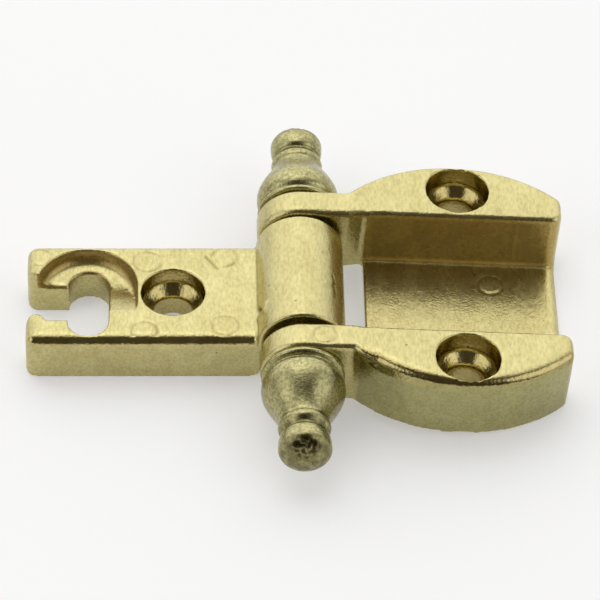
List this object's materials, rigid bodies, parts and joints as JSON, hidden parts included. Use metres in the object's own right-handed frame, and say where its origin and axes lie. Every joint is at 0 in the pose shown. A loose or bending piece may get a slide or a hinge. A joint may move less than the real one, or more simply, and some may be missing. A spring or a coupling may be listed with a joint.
{
  "type": "cabinet hinge",
  "caption": "Brass cabinet hinge: a hook-slotted arm and a round door cup whose channel takes the folded arm, on a pin with turned finials.",
  "frame": {"origin": "axis of the arm's countersunk screw hole, on the arm's mounting face", "axes": "+X along the arm towards the cup, +Z out of the mounting face, the pin along Y"},
  "size_m": [0.0615, 0.0526, 0.0103],
  "materials": {
    "cast_brass": "satin, as cast",
    "drawn_brass": "smooth",
    "turned_brass": "satin, tumbled"
  },
  "bodies": {
    "arm": {"arm_leaf": "cast_brass"},
    "cup": {"cup_body": "cast_brass", "hinge_pin": "drawn_brass", "front_finial": "turned_brass", "rear_finial": "turned_brass"}
  },
  "joints": [
    {"name": "door_swing", "type": "hinge", "parent": "arm", "child": "cup", "pos_m": [0.0145, 0, 0.0053], "axis": [0, -1, 0], "range_deg": [-90, 183.15]}
  ]
}
